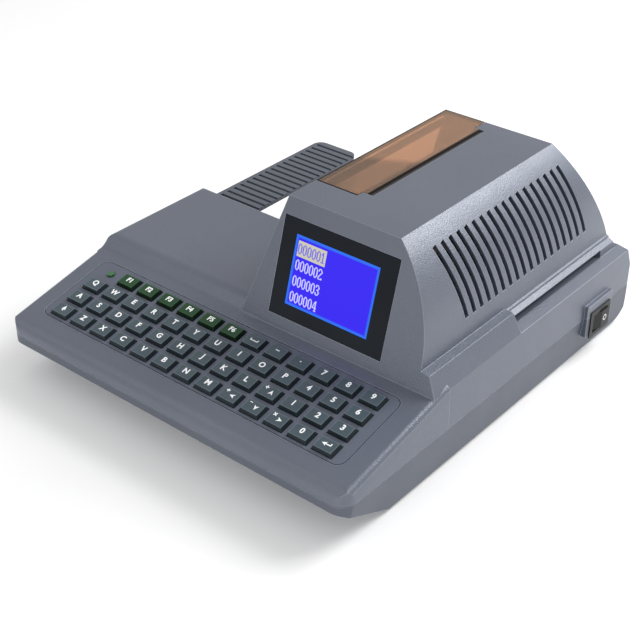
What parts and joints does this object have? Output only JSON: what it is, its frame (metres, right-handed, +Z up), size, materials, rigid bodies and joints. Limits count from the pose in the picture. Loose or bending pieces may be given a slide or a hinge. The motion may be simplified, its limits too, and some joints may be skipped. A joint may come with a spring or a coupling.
{
  "type": "check writer",
  "caption": "Desktop check writer: sloped keyboard deck, tower with a display and a curved vented side, amber ribbon lid, ribbed paper support and a paper slot.",
  "frame": {"origin": "Centre of the bounding box in plan, on the table plane under the feet.", "axes": "+X to the right of the keyboard, +Y to the rear, +Z up."},
  "size_m": [0.2794, 0.311, 0.136],
  "materials": {
    "housing": "satin",
    "lower_shell": "satin",
    "rubber": "matte",
    "screw_steel": "satin",
    "panel": "satin",
    "mat_rubber": "matte",
    "board": "satin",
    "lamp": "gloss",
    "window": "gloss",
    "screen": "gloss",
    "amber_lid": "gloss",
    "switch_black": "satin",
    "power": "satin",
    "frame_steel": "satin",
    "rod_steel": "polished",
    "dark_plastic": "matte",
    "head_metal": "satin",
    "roller_rubber": "matte",
    "motor_black": "satin",
    "brass": "satin",
    "white_plastic": "satin",
    "key_plain": "satin",
    "key_green": "satin"
  },
  "bodies": {
    "chassis": {"upper_housing": "housing", "lower_housing": "lower_shell", "rubber_feet": "rubber", "housing_screws": "screw_steel", "keyboard_panel": "panel", "key_mat": "mat_rubber", "keypad_board": "board", "status_lamp": "lamp", "display_window": "window", "display_module": "screen", "switch_body": "switch_black", "power_inlet": "switch_black", "main_board": "board", "power_supply": "power", "front_plate": "frame_steel", "rear_plate": "frame_steel", "guide_rods": "rod_steel", "paper_bed": "frame_steel", "platen": "roller_rubber", "carriage_belt": "roller_rubber", "carriage_motor": "motor_black", "ribbon_deck": "frame_steel", "ribbon_cartridge": "dark_plastic", "feed_motor": "motor_black"},
    "window_lid_body": {"window_lid": "amber_lid"},
    "paper_tray_body": {"paper_tray": "housing"},
    "switch_rocker_body": {"switch_rocker": "switch_black"},
    "head_carriage_body": {"head_carriage": "dark_plastic", "print_head": "head_metal"},
    "motor_pulley_body": {"motor_pulley": "brass"},
    "idler_pulley_body": {"idler_pulley": "white_plastic"},
    "entry_roller_body": {"entry_roller": "roller_rubber"},
    "exit_roller_body": {"exit_roller": "roller_rubber"},
    "entry_pinch_roller_body": {"entry_pinch_roller": "roller_rubber"},
    "exit_pinch_roller_body": {"exit_pinch_roller": "roller_rubber"},
    "feed_pinion_body": {"feed_pinion": "brass"},
    "idler_gear_body": {"idler_gear": "white_plastic"},
    "key_f1_body": {"key_f1": "key_green"},
    "key_f2_body": {"key_f2": "key_green"},
    "key_f3_body": {"key_f3": "key_green"},
    "key_f4_body": {"key_f4": "key_green"},
    "key_f5_body": {"key_f5": "key_green"},
    "key_f6_body": {"key_f6": "key_green"},
    "key_0_body": {"key_0": "key_plain"},
    "key_1_body": {"key_1": "key_plain"},
    "key_2_body": {"key_2": "key_plain"},
    "key_3_body": {"key_3": "key_plain"},
    "key_4_body": {"key_4": "key_plain"},
    "key_5_body": {"key_5": "key_plain"},
    "key_6_body": {"key_6": "key_plain"},
    "key_7_body": {"key_7": "key_plain"},
    "key_8_body": {"key_8": "key_plain"},
    "key_9_body": {"key_9": "key_plain"},
    "key_plus_body": {"key_plus": "key_plain"},
    "key_minus_body": {"key_minus": "key_plain"},
    "key_times_body": {"key_times": "key_plain"},
    "key_divide_body": {"key_divide": "key_plain"},
    "key_enter_body": {"key_enter": "key_plain"},
    "keys_top_row_body": {"keys_top_row": "key_plain"},
    "keys_letters_body": {"keys_letters": "key_plain"}
  },
  "joints": [
    {"name": "lid_hinge", "type": "hinge", "parent": "chassis", "child": "window_lid_body", "pos_m": [0.04335, 0.0345, 0.1327], "axis": [0, 1, 0], "range_deg": [0, 92]},
    {"name": "tray_slide", "type": "slide", "parent": "chassis", "child": "paper_tray_body", "axis": [0, 1, 0], "range_m": [-0.048, 0]},
    {"name": "switch_tilt", "type": "hinge", "parent": "chassis", "child": "switch_rocker_body", "pos_m": [0.13465, 0.1085, 0.0236], "axis": [0, 0, 1], "range_deg": [0, 18]},
    {"name": "carriage_slide", "type": "slide", "parent": "chassis", "child": "head_carriage_body", "axis": [0, 1, 0], "range_m": [-0.034, 0.034]},
    {"name": "motor_pulley_turn", "type": "hinge", "parent": "chassis", "child": "motor_pulley_body", "pos_m": [0.08335, -0.0055, 0.085], "axis": [1, 0, 0], "continuous": true},
    {"name": "idler_pulley_turn", "type": "hinge", "parent": "chassis", "child": "idler_pulley_body", "pos_m": [0.08335, 0.1165, 0.085], "axis": [1, 0, 0], "continuous": true},
    {"name": "feed_pinion_turn", "type": "hinge", "parent": "chassis", "child": "feed_pinion_body", "pos_m": [0.06035, 0.0065, 0.0362], "axis": [0, 1, 0], "continuous": true},
    {"name": "idler_gear_turn", "type": "hinge", "parent": "chassis", "child": "idler_gear_body", "pos_m": [0.06035, 0.0065, 0.0542], "axis": [0, 1, 0], "continuous": true},
    {"name": "entry_roller_turn", "type": "hinge", "parent": "chassis", "child": "entry_roller_body", "pos_m": [0.02835, 0.0695, 0.0542], "axis": [0, 1, 0], "continuous": true},
    {"name": "exit_roller_turn", "type": "hinge", "parent": "chassis", "child": "exit_roller_body", "pos_m": [0.09235, 0.0695, 0.0542], "axis": [0, 1, 0], "continuous": true},
    {"name": "entry_pinch_turn", "type": "hinge", "parent": "chassis", "child": "entry_pinch_roller_body", "pos_m": [0.02835, 0.0695, 0.0671], "axis": [0, 1, 0], "continuous": true},
    {"name": "exit_pinch_turn", "type": "hinge", "parent": "chassis", "child": "exit_pinch_roller_body", "pos_m": [0.09235, 0.0695, 0.0671], "axis": [0, 1, 0], "continuous": true},
    {"name": "key_f1_press", "type": "slide", "parent": "chassis", "child": "key_f1_body", "axis": [0, 0.213, -0.977], "range_m": [0, 0.0015], "stiffness_N_per_m": 300},
    {"name": "key_f2_press", "type": "slide", "parent": "chassis", "child": "key_f2_body", "axis": [0, 0.213, -0.977], "range_m": [0, 0.0015], "stiffness_N_per_m": 300},
    {"name": "key_f3_press", "type": "slide", "parent": "chassis", "child": "key_f3_body", "axis": [0, 0.213, -0.977], "range_m": [0, 0.0015], "stiffness_N_per_m": 300},
    {"name": "key_f4_press", "type": "slide", "parent": "chassis", "child": "key_f4_body", "axis": [0, 0.213, -0.977], "range_m": [0, 0.0015], "stiffness_N_per_m": 300},
    {"name": "key_f5_press", "type": "slide", "parent": "chassis", "child": "key_f5_body", "axis": [0, 0.213, -0.977], "range_m": [0, 0.0015], "stiffness_N_per_m": 300},
    {"name": "key_f6_press", "type": "slide", "parent": "chassis", "child": "key_f6_body", "axis": [0, 0.213, -0.977], "range_m": [0, 0.0015], "stiffness_N_per_m": 300},
    {"name": "key_0_press", "type": "slide", "parent": "chassis", "child": "key_0_body", "axis": [0, 0.213, -0.977], "range_m": [0, 0.0015], "stiffness_N_per_m": 300},
    {"name": "key_1_press", "type": "slide", "parent": "chassis", "child": "key_1_body", "axis": [0, 0.213, -0.977], "range_m": [0, 0.0015], "stiffness_N_per_m": 300},
    {"name": "key_2_press", "type": "slide", "parent": "chassis", "child": "key_2_body", "axis": [0, 0.213, -0.977], "range_m": [0, 0.0015], "stiffness_N_per_m": 300},
    {"name": "key_3_press", "type": "slide", "parent": "chassis", "child": "key_3_body", "axis": [0, 0.213, -0.977], "range_m": [0, 0.0015], "stiffness_N_per_m": 300},
    {"name": "key_4_press", "type": "slide", "parent": "chassis", "child": "key_4_body", "axis": [0, 0.213, -0.977], "range_m": [0, 0.0015], "stiffness_N_per_m": 300},
    {"name": "key_5_press", "type": "slide", "parent": "chassis", "child": "key_5_body", "axis": [0, 0.213, -0.977], "range_m": [0, 0.0015], "stiffness_N_per_m": 300},
    {"name": "key_6_press", "type": "slide", "parent": "chassis", "child": "key_6_body", "axis": [0, 0.213, -0.977], "range_m": [0, 0.0015], "stiffness_N_per_m": 300},
    {"name": "key_7_press", "type": "slide", "parent": "chassis", "child": "key_7_body", "axis": [0, 0.213, -0.977], "range_m": [0, 0.0015], "stiffness_N_per_m": 300},
    {"name": "key_8_press", "type": "slide", "parent": "chassis", "child": "key_8_body", "axis": [0, 0.213, -0.977], "range_m": [0, 0.0015], "stiffness_N_per_m": 300},
    {"name": "key_9_press", "type": "slide", "parent": "chassis", "child": "key_9_body", "axis": [0, 0.213, -0.977], "range_m": [0, 0.0015], "stiffness_N_per_m": 300},
    {"name": "key_plus_press", "type": "slide", "parent": "chassis", "child": "key_plus_body", "axis": [0, 0.213, -0.977], "range_m": [0, 0.0015], "stiffness_N_per_m": 300},
    {"name": "key_minus_press", "type": "slide", "parent": "chassis", "child": "key_minus_body", "axis": [0, 0.213, -0.977], "range_m": [0, 0.0015], "stiffness_N_per_m": 300},
    {"name": "key_times_press", "type": "slide", "parent": "chassis", "child": "key_times_body", "axis": [0, 0.213, -0.977], "range_m": [0, 0.0015], "stiffness_N_per_m": 300},
    {"name": "key_divide_press", "type": "slide", "parent": "chassis", "child": "key_divide_body", "axis": [0, 0.213, -0.977], "range_m": [0, 0.0015], "stiffness_N_per_m": 300},
    {"name": "key_enter_press", "type": "slide", "parent": "chassis", "child": "key_enter_body", "axis": [0, 0.213, -0.977], "range_m": [0, 0.0015], "stiffness_N_per_m": 300},
    {"name": "keys_top_row_press", "type": "slide", "parent": "chassis", "child": "keys_top_row_body", "axis": [0, 0.213, -0.977], "range_m": [0, 0.0015], "stiffness_N_per_m": 300},
    {"name": "keys_letters_press", "type": "slide", "parent": "chassis", "child": "keys_letters_body", "axis": [0, 0.213, -0.977], "range_m": [0, 0.0015], "stiffness_N_per_m": 300}
  ],
  "couplings": [
    {"joint": "idler_gear_turn", "follows": "feed_pinion_turn", "ratio": -0.5},
    {"joint": "entry_roller_turn", "follows": "feed_pinion_turn", "ratio": 0.3},
    {"joint": "exit_roller_turn", "follows": "feed_pinion_turn", "ratio": 0.3},
    {"joint": "entry_pinch_turn", "follows": "feed_pinion_turn", "ratio": -0.456},
    {"joint": "exit_pinch_turn", "follows": "feed_pinion_turn", "ratio": -0.456},
    {"joint": "motor_pulley_turn", "follows": "carriage_slide", "rad_per_m": 200},
    {"joint": "idler_pulley_turn", "follows": "carriage_slide", "rad_per_m": 200}
  ]
}
